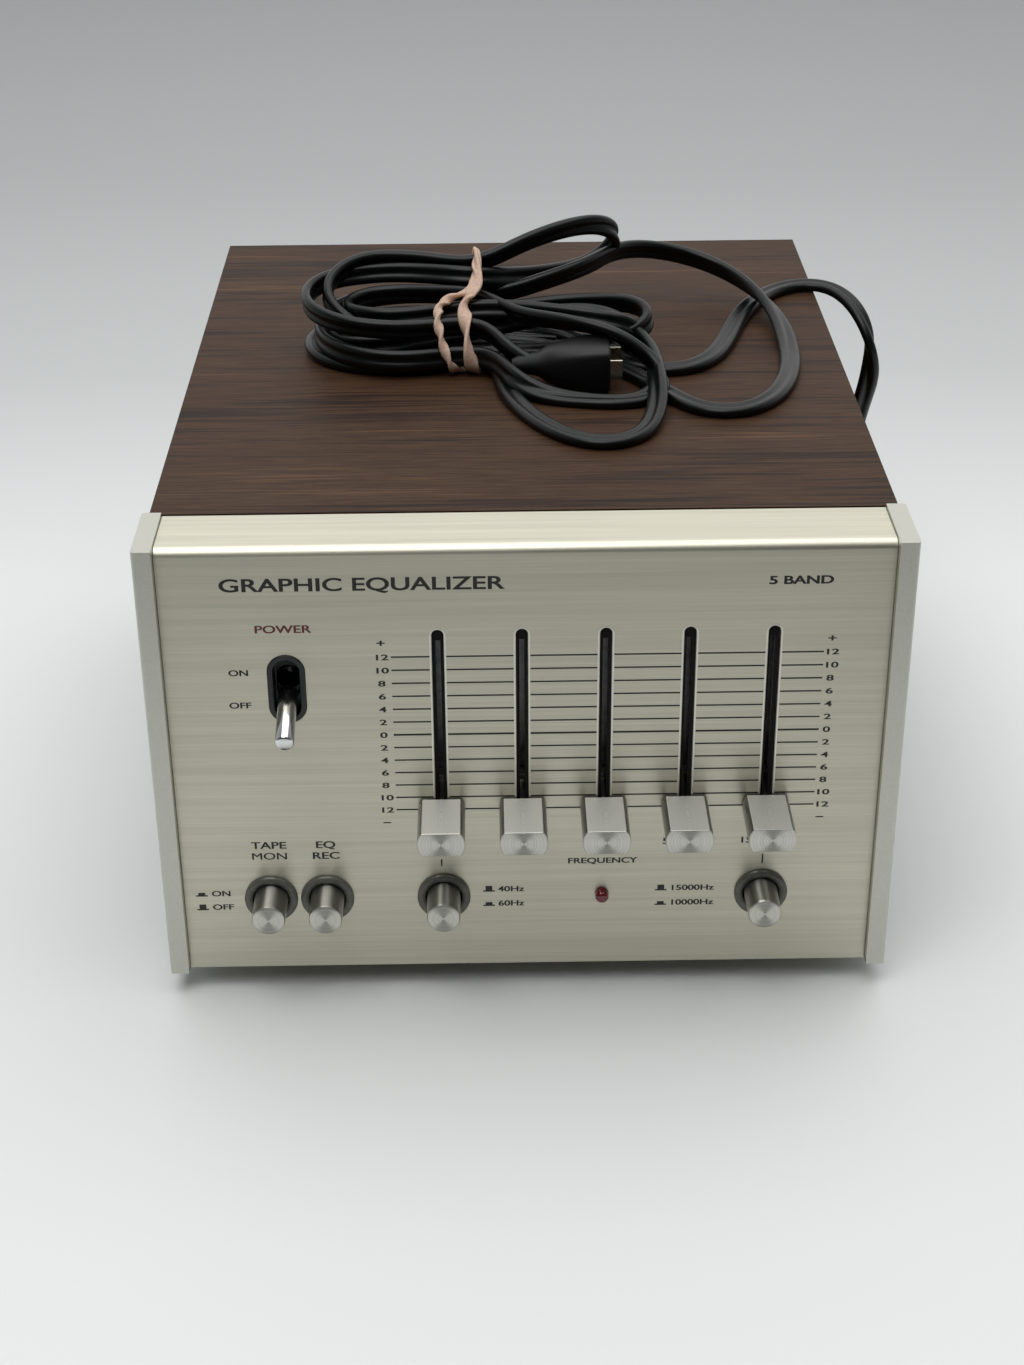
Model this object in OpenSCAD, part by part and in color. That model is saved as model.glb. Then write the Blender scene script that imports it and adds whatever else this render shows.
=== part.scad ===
// Five-band graphic equalizer in a wood-clad case, with its mains lead tied in a hank on top.
// Millimetres. +X right, -Y is the front panel's side, +Z up. The feet stand on z = 0, and the
// origin is under the middle of the case, from the slider knobs' tips to the jacks' tips.

/* [Case] */
// Width over both end cheeks
case_w = 210; // [200:1:230]
// Height of an end cheek
cheek_h = 137.2; // [132:0.1:150]
// Depth of an end cheek, front to back
cheek_d = 25.2; // [24:0.1:30]
// Thickness of an end cheek
cheek_t = 5.4; // [4:0.1:7]
// Depth from the cheeks' front to the cabinet's back edge
case_d = 260.5; // [250:0.5:320]
// Height of the rubber feet below the cheeks
foot_h = 8; // [5:0.5:12]
// Thickness of the wood cabinet
wood_t = 9; // [7:0.5:9]

/* [Front panel] */
// How far the panel's face is set back from the cheeks' front
panel_set = 3.1; // [2:0.1:4]
// Thickness of the panel
panel_t = 3; // [2.5:0.1:3]
// Radius of the edge between the face and the top flange
panel_round = 2.6; // [1.5:0.1:3.5]
// Height of the panel's face, up to that edge
face_h = 133.7; // [131:0.1:134]

/* [Sliders] */
// Distance from one slider to the next
slider_pitch = 23; // [20:0.5:23]
// Middle slider's place across the panel
slider_mid_x = 21.75; // [15:0.25:22]
// Height of the lowest setting, -12, above the cheeks' foot
slider_low_z = 53.9; // [50:0.1:56]
// Travel from -12 to +12
slider_travel = 49.2; // [40:0.1:50]
// Width of the slots
slot_w = 3.4; // [2.6:0.1:4]
// Diameter of the bar that the knobs are milled from
knob_d = 13.4; // [11:0.1:14]
// Height over the knobs' two flats
knob_h = 7.5; // [6:0.1:8.5]
// How far the knobs stand out from the panel's face
knob_reach = 18.9; // [12:0.1:22]

/* [Buttons and power switch] */
// Height of the row of buttons above the cheeks' foot
button_z = 24.2; // [22:0.1:26]
// Radius of a button's cap
cap_r = 4.8; // [4:0.1:4.9]
// How far a cap stands out from the panel's face
cap_reach = 11.7; // [9:0.1:13]
// Travel of a button
button_travel = 4; // [2:0.5:4]
// Power lever's place across the panel
power_x = -66; // [-72:0.5:-60]
// Height of the power lever's pivot above the cheeks' foot
power_z = 93.5; // [88:0.5:98]
// How far the lever hangs below level when off
lever_drop = 16; // [12:1:18]
// Length of the lever from its pivot
lever_len = 29.4; // [24:0.1:32]

/* [Rear] */
// Distance between the phono jacks
jack_pitch = 18; // [16:0.5:19]
// Reach of the jacks' tips behind the cheeks' front
jack_tip = 266.2; // [266:0.1:330]

/* [Hidden] */
$fn = 48;
eps = 0.02;                                  // running gap of a screw or peg in its hole
face_y = -(jack_tip - (knob_reach - panel_set)) / 2;  // the cheeks' front, in the row's own frame
inner_x = case_w / 2 - cheek_t;              // inner face of a cheek
panel_half = inner_x - 0.1;
panel_back = panel_set + panel_t;
flange_top = face_h + panel_round;
wood_x = 103.1;                              // half the cabinet's width
wood_top = 136.5;
wood_front = cheek_d + 0.2;
bracket_y = 12;                              // the steel sub-panel behind the front panel
sheet_t = 1.2;                               // steel sheet
bracket_back = bracket_y + sheet_t;
tray_z = 2;                                  // underside of the tray, above the cheeks' foot
tray_top = tray_z + sheet_t;
rear_y = 252;                                // inner face of the rear panel
rear_out = rear_y + sheet_t;
slider_x = [for (i = [-2:2]) slider_mid_x + i * slider_pitch];
button_x = [-74.3, -58, slider_x[0], slider_x[4]];
slot_ends = 6.5;                             // slot length past the settings -12 and +12
stem_w = 1.3;
stem_h = 4.5;
slider_high_z = slider_low_z + slider_travel;
pot_mid = slider_low_z + slider_travel / 2;
pot_half = slider_travel / 2 + 12.9;         // half of a potentiometer's length
pot_screw_z = [for (s = [-1, 1]) pot_mid + s * (pot_half - 1.7)];
bezel_half = 5.45;                           // half of the straight part of the power bezel
bezel_r = 5.2;
plunger_w = 3.2;
plunger_hole = plunger_w / 2 + 0.6;
pivot_y = panel_set + 12;
lamp_x = slider_mid_x - 0.2;
jack_x = [for (i = [0:3]) -75 + i * jack_pitch];
jack_z = [62, 80];
gland_x = 72;
gland_z = 30;
board_z = 12;
board = [[-40, 60], [85, 190]];              // the filter board's corners, seen from above
board_posts = [[-34, 66], [79, 66], [-34, 184], [79, 184]];
foot_xy = [[-80, 45], [80, 45], [-80, 225], [80, 225]];
transformer = [-57, 205];
m3 = 1.5;
m2 = 1;

// The lead's uncoiled stretches, as points in the row's own frame, every one on its centreline.
// From the gland over the floor behind the case, up over the right edge and on to the hank.
lead_r = 1.65;
lead_tail = [
    [72, 146.2, 38], [72, 154, 37], [74, 165, 29], [79, 174, 16], [87, 178.5, 5.2], [97, 176, 1.8],
    [107, 165.5, 1.8], [114.5, 149, 1.8], [118, 132, 3.2], [119, 118, 12], [119, 107, 28],
    [119, 97, 48], [119, 87, 68], [119.5, 77, 88], [120.5, 68, 106], [121.5, 60, 119],
    [121.2, 56.5, 130], [119, 60.5, 139], [114.5, 69, 144.6], [108.5, 77, 146.8],
    [101, 80.5, 146.4], [92.5, 78, 146.2], [85, 70, 146.2], [77.5, 57, 146.2], [71.5, 39, 146.2],
    [66.5, 22, 146.2], [61.5, 10, 146.2], [54.5, 2, 146.2], [46, 0, 146.2], [38.5, 3.5, 146.2],
    [34, 10, 146.2]];
// The wide loop that leaves the top of the hank and comes back to its foot.
lead_loop_right = [
    [22, 50, 163.5], [34, 68, 163.5], [49, 78, 160.5], [67, 76, 156], [80, 62, 151.8],
    [86.5, 40, 149], [87, 12, 146.5], [83, -10, 146.2], [77, -24, 146.2], [69.5, -32.5, 146.2],
    [60.5, -35, 146.2], [52, -29.5, 146.2], [45, -18, 146.2], [38, -6, 146.2], [30.5, 4.5, 146.2]];
// The loop that hangs out of the hank's front.
lead_loop_front = [
    [-6.5, 6, 147.5], [-6.2, -5, 146.6], [-3.5, -18, 146.2], [2, -33, 146.2], [8.5, -45.5, 146.2],
    [16.5, -54.5, 146.2], [25, -58, 146.2], [33, -54.5, 146.2], [38.5, -45, 146.8],
    [41.5, -32, 148.6], [42.5, -17, 151], [42, -2, 152.5], [38, 12, 154]];
top_z = foot_h + wood_top;
hank_ends = [[-44, 30], [20, 30]];           // centres of the bundle's two rounded ends
hank_r = 28;
hank_h = 26;                                 // the bundle's height
band_x = -12;                                // the rubber band's place across the case
plug_at = [0, -17, top_z];
plug_size = [28, 18, 15];

NUMBERS5 = [1:5];
NUMBERS4 = [1:4];

// ---------------------------------------------------------------- helpers

// Places x, y behind the cheeks' front and z above the cheeks' foot in the row's frame.
module in_case(x = 0, y = 0, z = 0) { translate([x, face_y + y, foot_h + z]) children(); }

// A box from one corner to the other.
module span(a, b) { translate(a) cube(b - a); }

// A cylinder that runs back along +Y from y0 to y1.
module rod_y(x, y0, y1, z, r) { translate([x, y0, z]) rotate([-90, 0, 0]) cylinder(h = y1 - y0, r = r); }

// An upright cylinder.
module rod_z(x, y, z0, z1, r) { translate([x, y, z0]) cylinder(h = z1 - z0, r = r); }

// A cylinder along +X.
module rod_x(x0, x1, y, z, r) { translate([x0, y, z]) rotate([0, 90, 0]) cylinder(h = x1 - x0, r = r); }

// An upright slot with round ends, cut along Y. Its centres run from z0 to z1.
module slot_y(x, y0, y1, z0, z1, r) {
    rod_y(x, y0, y1, z0, r);
    rod_y(x, y0, y1, z1, r);
    span([x - r, y0, z0], [x + r, y1, z1]);
}

// Turns a profile of (radius, distance) about an axis along +Y through x, z.
module turned_y(x, y, z) { translate([x, y, z]) rotate([-90, 0, 0]) rotate_extrude() children(); }

// A pan-head screw: its head's underside is at the origin, and its shank goes along +Z.
module screw(r, len) {
    cylinder(h = len, r = r);
    translate([0, 0, -1.2 * r]) cylinder(h = 1.2 * r, r = 1.85 * r);
}

module screw_up(x, y, z, r, len) { translate([x, y, z]) screw(r, len); }
module screw_down(x, y, z, r, len) { translate([x, y, z]) mirror([0, 0, 1]) screw(r, len); }
module screw_back(x, y, z, r, len) { translate([x, y, z]) rotate([-90, 0, 0]) screw(r, len); }
module screw_front(x, y, z, r, len) { translate([x, y, z]) rotate([90, 0, 0]) screw(r, len); }

// A tube swept along points, with a ring of eight corners at each.
tube_sides = 8;
function along(p, i) =
    let (a = p[max(i - 1, 0)], b = p[min(i + 1, len(p) - 1)]) (b - a) / norm(b - a);
function across(v, t) = let (w = v - (v * t) * t) w / norm(w);
function side_vectors(p, i, v) =
    let (w = across(v, along(p, i)))
    i == len(p) - 1 ? [w] : concat([w], side_vectors(p, i + 1, w));
function ring(c, t, s, r) =
    let (u = cross(t, s)) [for (k = [0:tube_sides - 1])
        let (a = 360 * k / tube_sides) c + r * (cos(a) * s + sin(a) * u)];
module tube(p, r) {
    side = side_vectors(p, 0, [1, 0.1, 0]);
    rings = [for (i = [0:len(p) - 1]) each ring(p[i], along(p, i), side[i], r)];
    last = (len(p) - 1) * tube_sides;
    walls = [for (i = [0:len(p) - 2], k = [0:tube_sides - 1])
        let (a = i * tube_sides + k, b = i * tube_sides + (k + 1) % tube_sides)
        each [[a, a + tube_sides, b], [b, a + tube_sides, b + tube_sides]]];
    caps = [[for (k = [0:tube_sides - 1]) k],
            [for (k = [tube_sides - 1:-1:0]) last + k]];
    polyhedron(points = rings, faces = concat(walls, caps));
}

// ---------------------------------------------------------------- case

panel_screws = [[-91, 12], [91, 12], [-91, 122], [91, 122]];

module front_panel() color("#a5a396") in_case() difference() {
    union() {
        translate([-panel_half, 0, 0]) rotate([90, 0, 90]) linear_extrude(2 * panel_half) union() {
            translate([panel_set, 0]) square([panel_t, face_h]);
            translate([panel_back, 0]) square([bracket_y - panel_back - 0.3, 2]);
            translate([panel_set + panel_round, flange_top - 2])
                square([cheek_d - 0.4 - panel_set - panel_round, 2]);
            intersection() {
                translate([panel_set + panel_round, face_h]) circle(panel_round);
                translate([panel_set, face_h]) square(panel_round);
            }
        }
        for (p = panel_screws) rod_y(p[0], panel_back - 0.5, bracket_y, p[1], 3);
    }
    for (x = slider_x)
        slot_y(x, 0, panel_back + 1, slider_low_z - slot_ends, slider_high_z + slot_ends, slot_w / 2);
    slot_y(power_x, 0, panel_back + 1, power_z - bezel_half, power_z + bezel_half, bezel_r + 0.05);
    for (x = button_x) rod_y(x, 0, panel_back + 1, button_z, 7);
    rod_y(lamp_x, 0, panel_back + 1, button_z, 2);
    for (p = panel_screws) rod_y(p[0], panel_back + 1, bracket_y + 1, p[1], m3 + eps);
}

cheek_screw_z = [22, 112];
cheek_screw_y = 19;

// One end cheek, drawn on the right. Its long edges are rounded.
module cheek() in_case() difference() {
    linear_extrude(cheek_h) union() {
        translate([inner_x, 0]) square([cheek_t - 0.8, cheek_d]);
        translate([inner_x, 0.8]) square([cheek_t, cheek_d - 1.6]);
        for (y = [0.8, cheek_d - 0.8]) translate([case_w / 2 - 0.8, y]) circle(0.8);
    }
    for (z = cheek_screw_z) rod_x(inner_x - 1, inner_x + 3.6, cheek_screw_y, z, m3 + eps);
}
module left_cheek() color("#9b9c94") mirror([1, 0, 0]) cheek();
module right_cheek() color("#9b9c94") cheek();

cover_screws = [[-98.6, 60], [98.6, 60], [-98.6, 220], [98.6, 220]];

module cabinet_cover() color("#584840") in_case() difference() {
    span([-wood_x, wood_front, tray_top], [wood_x, case_d, wood_top]);
    span([-wood_x + wood_t, wood_front - 1, tray_top - 1], [wood_x - wood_t, case_d + 1, wood_top - wood_t]);
    for (p = cover_screws) rod_z(p[0], p[1], tray_top - 1, tray_top + 9, m3 + eps);
}

front_screws_x = [-60, 0, 60];
rear_screws_x = [-70, 0, 45];

module chassis_tray() color("#b9bab4") in_case() difference() {
    union() {
        span([-101.5, wood_front + 0.6, tray_z], [101.5, rear_out, tray_top]);
        span([-98, 14, tray_z], [98, wood_front + 0.6, tray_top]);
        for (s = [-1, 1]) {
            x = s * (wood_x - wood_t - sheet_t / 2);
            span([x - sheet_t / 2, 45, tray_top], [x + sheet_t / 2, 238, 20]);
        }
        for (p = board_posts) rod_z(p[0], p[1], tray_top, board_z, 3);
    }
    for (p = concat(cover_screws, foot_xy)) rod_z(p[0], p[1], tray_z - 1, tray_top + 1, m3 + 0.1);
    for (x = front_screws_x) rod_z(x, 30, tray_z - 1, tray_top + 1, m3 + 0.1);
    for (x = rear_screws_x) rod_z(x, 245, tray_z - 1, tray_top + 1, m3 + 0.1);
    for (p = board_posts) rod_z(p[0], p[1], board_z - 6, board_z + 1, m3 + eps);
    for (s = [-1, 1]) rod_z(transformer[0] + 29 * s, transformer[1], tray_z - 1, tray_top + 1, m3 + eps);
    // Cooling slots under the transformer and the board.
    for (x = [-78:8:-46], y = [130, 165]) translate([x, y, 0]) {
        for (k = [-6, 6]) rod_z(0, k, tray_z - 1, tray_top + 1, 1.5);
        span([-1.5, -6, tray_z - 1], [1.5, 6, tray_top + 1]);
    }
}

jack_plate_screws = [[-80.5, 47], [-16.5, 47], [-80.5, 95], [-16.5, 95]];
ground_at = [8, 62];

module rear_panel() color("#8e8f8b") in_case() difference() {
    union() {
        span([-93.9, rear_y, tray_top], [93.9, rear_out, wood_top - wood_t - 0.4]);
        span([-88, rear_y - 14, tray_top], [88, rear_y, tray_top + sheet_t]);
    }
    for (x = jack_x, z = jack_z) rod_y(x, rear_y - 1, rear_out + 1, z, 5);
    for (p = jack_plate_screws) rod_y(p[0], rear_y - 1, rear_out + 1, p[1], m3 + eps);
    rod_y(ground_at[0], rear_y - 1, rear_out + 1, ground_at[1], 2.1);
    rod_y(gland_x, rear_y - 1, rear_out + 1, gland_z, 6.5);
    for (x = rear_screws_x) rod_z(x, 245, tray_top - 1, tray_top + sheet_t + 1, m3 + eps);
    for (x = [-10:10:70]) slot_y(x, rear_y - 1, rear_out + 1, 104, 116, 1.6);
}

module control_bracket() color("#a9aaa5") in_case() difference() {
    union() {
        span([-inner_x, bracket_y, tray_top], [inner_x, bracket_back, 130]);
        span([-90, bracket_back, tray_top], [90, 38, tray_top + sheet_t]);
        for (s = [-1, 1]) {
            x = s * (inner_x - sheet_t / 2);
            span([x - sheet_t / 2, bracket_back, 10], [x + sheet_t / 2, 24.5, 126]);
        }
    }
    for (x = slider_x)
        slot_y(x, bracket_y - 1, bracket_back + 1, slider_low_z - 4, slider_high_z + 4, 1.5);
    for (x = slider_x, z = pot_screw_z) rod_y(x, bracket_y - 1, bracket_back + 1, z, m2 + eps);
    for (x = button_x)
        span([x - plunger_hole, bracket_y - 1, button_z - plunger_hole],
            [x + plunger_hole, bracket_back + 1, button_z + plunger_hole]);
    rod_y(power_x, bracket_y - 1, bracket_back + 1, power_z, 5.55);
    rod_y(lamp_x, bracket_y - 1, bracket_back + 1, button_z, 3.05);
    for (p = panel_screws) rod_y(p[0], bracket_y - 1, bracket_back + 1, p[1], m3 + 0.1);
    for (s = [-1, 1], z = cheek_screw_z) rod_x(s * inner_x - 2, s * inner_x + 2, cheek_screw_y, z, m3 + 0.1);
    for (x = front_screws_x) rod_z(x, 30, tray_top - 1, tray_top + sheet_t + 1, m3 + eps);
}

foot_recess = 4;

module rubber_feet() color("#26272a") in_case() for (p = foot_xy) translate([p[0], p[1], -foot_h])
    rotate_extrude() difference() {
        polygon([[0, 0], [8, 0], [8.6, 0.6], [10, foot_h + tray_z], [0, foot_h + tray_z]]);
        square([m3 + eps, foot_h + tray_z + 1]);
        translate([0, -1]) square([3.6, foot_recess + 1]);
    }

module case_screws() color("#c9c9c4") in_case() {
    for (p = panel_screws) screw_front(p[0], bracket_back, p[1], m3, 5);
    for (z = cheek_screw_z) {
        translate([inner_x - sheet_t, cheek_screw_y, z]) rotate([0, 90, 0]) screw(m3, 4.5);
        translate([sheet_t - inner_x, cheek_screw_y, z]) rotate([0, -90, 0]) screw(m3, 4.5);
    }
    for (p = cover_screws) screw_up(p[0], p[1], tray_z, m3, 10);
    for (x = front_screws_x) screw_up(x, 30, tray_z, m3, 4.5);
    for (x = rear_screws_x) screw_up(x, 245, tray_z, m3, 4.5);
    for (p = foot_xy) screw_up(p[0], p[1], foot_recess - foot_h, m3, 8);
    for (p = board_posts) screw_down(p[0], p[1], board_z + 1.6, m3, 6);
    for (p = jack_plate_screws) screw_front(p[0], rear_out + 2, p[1], m3, 6);
    for (s = [-1, 1]) screw_down(transformer[0] + 29 * s, transformer[1], tray_top + 2, m3, 4);
}

// ---------------------------------------------------------------- sliders

module slot_screens() color("#101112") in_case() for (x = slider_x) difference() {
    span([x - 5, panel_back, slider_low_z - 12], [x + 5, panel_back + 0.5, slider_high_z + 12]);
    span([x - 1.15, panel_back - 1, slider_low_z - 3.5], [x + 1.15, panel_back + 1, slider_high_z + 3.5]);
}

// The closed steel case of one slide potentiometer. The wiper carriage runs inside.
module slide_pot(i) color("#8b8d8c") in_case() {
    x = slider_x[i];
    difference() {
        span([x - 4.75, bracket_back, pot_mid - pot_half], [x + 4.75, bracket_back + 7.2, pot_mid + pot_half]);
        span([x - 3.9, bracket_back + 1, pot_mid - pot_half + 3.6],
            [x + 3.9, bracket_back + 6.4, pot_mid + pot_half - 3.6]);
        span([x - 1.3, bracket_back - 1, slider_low_z - 3.5],
            [x + 1.3, bracket_back + 1.1, slider_high_z + 3.5]);
        for (z = pot_screw_z) rod_y(x, bracket_back - 1, bracket_back + 4, z, m2 + eps);
    }
}

socket_depth = 12;                           // how far a stem goes into its knob

// The steel stem of one slider, with the wiper carriage at its back.
module slider_stem(i) color("#b8b6ae") in_case() {
    x = slider_x[i];
    span([x - stem_w / 2, panel_set - 0.6 - socket_depth, slider_low_z - stem_h / 2],
        [x + stem_w / 2, bracket_back + 1.6, slider_low_z + stem_h / 2]);
    span([x - 3.4, bracket_back + 1.6, slider_low_z - 4], [x + 3.4, bracket_back + 5.8, slider_low_z + 4]);
}

// One knob: a turned bar with its top and bottom milled flat, slotted for the stem.
module slider_knob(i) color("#bcbcb8") in_case() {
    x = slider_x[i];
    difference() {
        intersection() {
            rod_y(x, panel_set - knob_reach, panel_set - 0.6, slider_low_z, knob_d / 2);
            span([x - knob_d, -knob_reach, slider_low_z - knob_h / 2],
                [x + knob_d, panel_set, slider_low_z + knob_h / 2]);
        }
        span([x - stem_w / 2, panel_set - 0.6 - socket_depth, slider_low_z - stem_h / 2],
            [x + stem_w / 2, panel_set, slider_low_z + stem_h / 2]);
    }
}

module pot_screws() color("#c9c9c4") in_case()
    for (x = slider_x, z = pot_screw_z) screw_back(x, bracket_y, z, m2, 4.4);

// ---------------------------------------------------------------- buttons, lamp and power switch

ring_out = 7.7;
ring_in = 5.3;
ring_proud = 1.4;

// A moulded ring with a rounded lip, seated in the panel.
module button_bezel(i) color("#4b4b44") in_case() turned_y(button_x[i], panel_set, button_z) union() {
    translate([ring_in, 0]) square([6.95 - ring_in, 5.4]);
    intersection() {
        translate([(ring_out + ring_in) / 2, 0]) circle((ring_out - ring_in) / 2 + 0.2);
        translate([ring_in, -ring_proud]) square([ring_out - ring_in, ring_proud]);
    }
}

cap_len = 15;
plunger_y0 = panel_set - cap_reach + cap_len - 8;

module button_cap(i) color("#bebeb9") in_case() difference() {
    turned_y(button_x[i], panel_set - cap_reach, button_z)
        polygon([[0, 0], [cap_r - 0.35, 0], [cap_r, 0.35], [cap_r, cap_len], [0, cap_len]]);
    span([button_x[i] - plunger_w / 2, plunger_y0, button_z - plunger_w / 2],
        [button_x[i] + plunger_w / 2, bracket_back, button_z + plunger_w / 2]);
}

module button_plunger(i) color("#e3e0d6") in_case()
    span([button_x[i] - plunger_w / 2, plunger_y0, button_z - plunger_w / 2],
        [button_x[i] + plunger_w / 2, 24, button_z + plunger_w / 2]);

// The four latching switches' bodies, each with the channel that its plunger runs in.
module push_switches() color("#c8b98a") in_case() for (x = button_x) difference() {
    span([x - 5, bracket_back, button_z - 6], [x + 5, 41, button_z + 6]);
    span([x - 2, bracket_back - 1, button_z - 2], [x + 2, 29, button_z + 2]);
}

module pilot_lens() color("#8c1a22") in_case() turned_y(lamp_x, 0, button_z) union() {
    translate([0, 1.6]) square([1.95, 6.4]);
    translate([0, 0.3]) square([0.65, 1.4]);
    intersection() {
        translate([0.65, 1.6]) circle(1.3);
        translate([0, 0.3]) square([1.95, 1.3]);
    }
}

module pilot_lamp() color("#d9d4c4") in_case() rod_y(lamp_x, 8, 24, button_z, 3);

// A black sleeve with an obround mouth, closed behind but for the lever's opening.
module power_bezel() color("#15171a") in_case() difference() {
    slot_y(power_x, panel_set - 0.4, 9.2, power_z - bezel_half, power_z + bezel_half, bezel_r);
    slot_y(power_x, 0, 8.2, power_z - bezel_half, power_z + bezel_half, bezel_r - 1.5);
    slot_y(power_x, 8, 10, power_z - 3, power_z + 3, 3);
}

// The toggle switch's body, its threaded bushing and its nut.
module power_switch() color("#3a3b3d") in_case() difference() {
    union() {
        span([power_x - 6.5, 18.2, power_z - 11], [power_x + 6.5, 40, power_z + 11]);
        rod_y(power_x, 10.6, 18.2, power_z, 5.5);
        translate([power_x, 10.6, power_z]) rotate([-90, 0, 0]) cylinder(h = 1.4, r = 7.6, $fn = 6);
        span([power_x - 7.5, bracket_back, power_z - 7.5], [power_x + 7.5, 18.2, power_z + 7.5]);
    }
    rod_y(power_x, 10, 19.5, power_z, 3.6);
}

// The lever at rest in its off position: a ball on a pivot pin, a thin neck and a fat round handle.
module power_lever() color("#d8d8d6") in_case(power_x, pivot_y, power_z)
    rotate([90 + lever_drop, 0, 0]) {
        sphere(2.6);
        rod_x(-3.3, 3.3, 0, 0, 0.9);
        rotate_extrude() polygon([[0, 0], [1.2, 0], [1.2, 5], [2.65, 9.5],
            [2.65, lever_len - 0.5], [2.15, lever_len], [0, lever_len]]);
    }

// ---------------------------------------------------------------- inside and rear

module filter_board() color("#b08a4e") in_case() difference() {
    span([board[0][0], board[0][1], board_z], [board[1][0], board[1][1], board_z + 1.6]);
    for (p = board_posts) rod_z(p[0], p[1], board_z - 1, board_z + 3, m3 + 0.1);
}

// For each band: a pot-core coil, two capacitors and a transistor in a can. Behind: the output pair.
module board_components() color("#5c3f2e") in_case() translate([0, 0, board_z + 1.6]) {
    for (x = slider_x) {
        rod_z(x, 90, 0, 14, 8);
        rod_z(x - 5, 112, 0, 16, 4);
        rod_z(x + 5, 112, 0, 16, 4);
        rod_z(x, 128, 0, 5.2, 4.3);
        span([x - 7, 138, 0], [x + 7, 143, 9]);
        span([x - 7, 150, 0], [x + 7, 154, 2.4]);
    }
    for (x = [0, 45]) rod_z(x, 170, 0, 22, 7);
}

core_x = 24;                                 // half of the core's width
module transformer_core() color("#6b6d70") in_case(transformer[0], transformer[1], tray_top) difference() {
    union() {
        span([-core_x, -15, 0], [core_x, 15, 40]);
        for (s = [-1, 1]) translate([29 * s, 0, 0]) span([-5, -7, 0], [5, 7, 2]);
    }
    for (s = [-1, 1]) span([12 * s - 4, -16, 8], [12 * s + 4, 16, 32]);
    for (s = [-1, 1]) rod_z(29 * s, 0, -1, 3, m3 + 0.1);
}

module transformer_winding() color("#c9a24a") in_case(transformer[0], transformer[1], tray_top) difference() {
    span([-16, -23, 8], [16, 23, 32]);
    span([-8, -15, 7], [8, 15, 33]);
}

module smoothing_capacitor() color("#3f5a78") in_case() difference() {
    rod_z(-62, 95, tray_top, 45, 14);
    rod_z(-62, 95, 44, 46, 11);
}

module jack_plate() color("#3b2a20") in_case() difference() {
    span([-87, rear_out, 42], [-10, rear_out + 2, 100]);
    for (x = jack_x, z = jack_z) rod_y(x, rear_out - 1, rear_out + 3, z, 3.25);
    for (p = jack_plate_screws) rod_y(p[0], rear_out - 1, rear_out + 3, p[1], m3 + 0.1);
}

jack_base = rear_out + 2;
jack_floor = jack_base + 0.7;
jack_bore = 8;                               // depth of the hole that a phono plug's pin enters
module jack_shells() color("#cfcfca") in_case() for (x = jack_x, z = jack_z) difference() {
    union() {
        rod_y(x, jack_base, jack_base + 1.4, z, 5.6);
        rod_y(x, jack_base, jack_tip, z, 4.15);
        rod_y(x, rear_y - 3, jack_base, z, 3.2);
    }
    rod_y(x, jack_floor, jack_tip + 1, z, 3.3);
    rod_y(x, rear_y - 4, jack_floor + 1, z, 2.4);
}

module jack_insulators() color("#e9e4d4") in_case() for (x = jack_x, z = jack_z) difference() {
    union() {
        rod_y(x, jack_floor, jack_tip - 1.2, z, 3.3 - eps);
        rod_y(x, rear_y - 3, jack_floor, z, 2.4 - eps);
    }
    rod_y(x, jack_tip - 1.2 - jack_bore, jack_tip, z, 1.6);
}

module ground_terminal() color("#c4c4be") in_case() {
    x = ground_at[0];
    z = ground_at[1];
    rod_y(x, rear_y - 4, rear_out, z, 2);
    rod_y(x, rear_out, rear_out + 1, z, 4.5);
    rod_y(x, rear_out + 1, rear_out + 3, z, 2);
    rod_y(x, rear_out + 3, rear_out + 8, z, 4.8);
    rod_y(x, rear_out + 8, rear_out + 10, z, 2);
}

gland_tip = lead_tail[0][1] - face_y;
module cord_gland() color("#1b1c1e") in_case() turned_y(gland_x, 0, gland_z) polygon([
    [0, rear_y - 6], [5.8, rear_y - 6], [6.45, rear_y - 2], [6.45, rear_out], [8.5, rear_out],
    [8.5, rear_out + 2], [6, rear_out + 2.4], [3.8, gland_tip], [0, gland_tip]]);

// ---------------------------------------------------------------- mains lead

module mains_cord() color("#232a2c") tube(lead_tail, lead_r);
module cord_loop_right() color("#232a2c") tube(lead_loop_right, lead_r);
module cord_loop_front() color("#232a2c") tube(lead_loop_front, lead_r);

band_y = [-1, 60];
band_h = [0.2, 28];
module band_outline() span([band_x - 2.5, band_y[0], top_z + band_h[0]],
    [band_x + 2.5, band_y[1], top_z + band_h[1]]);

module cord_hank() color("#232a2c") difference() {
    translate([0, 0, top_z]) linear_extrude(hank_h) union() {
        for (p = hank_ends) translate(p) circle(hank_r);
        translate([hank_ends[0][0], hank_ends[0][1] - hank_r])
            square([hank_ends[1][0] - hank_ends[0][0], 2 * hank_r]);
    }
    difference() {
        translate([0, 0, -1]) band_outline();
        span([band_x - 3, band_y[0] + 4, top_z + 1.2], [band_x + 3, band_y[1] - 4, top_z + 25]);
    }
}

module rubber_band() color("#c9a594") difference() {
    span([band_x - 2.4, 0.5, top_z + 0.2], [band_x + 2.4, 59.5, top_z + 27]);
    span([band_x - 3, 3, top_z + 1.2], [band_x + 3, 57, top_z + 25]);
}

// A two-pin moulded plug. Its grip is on the left and its flat blades are on the right.
module mains_plug() color("#17191b") translate(plug_at) {
    span([0, 0, 0], plug_size);
    for (y = [2.65, 13.85]) translate([plug_size[0], y, 4.3]) span([0, 0, 0], [4, 1.5, 6.4]);
}

// ---------------------------------------------------------------- what is drawn

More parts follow.
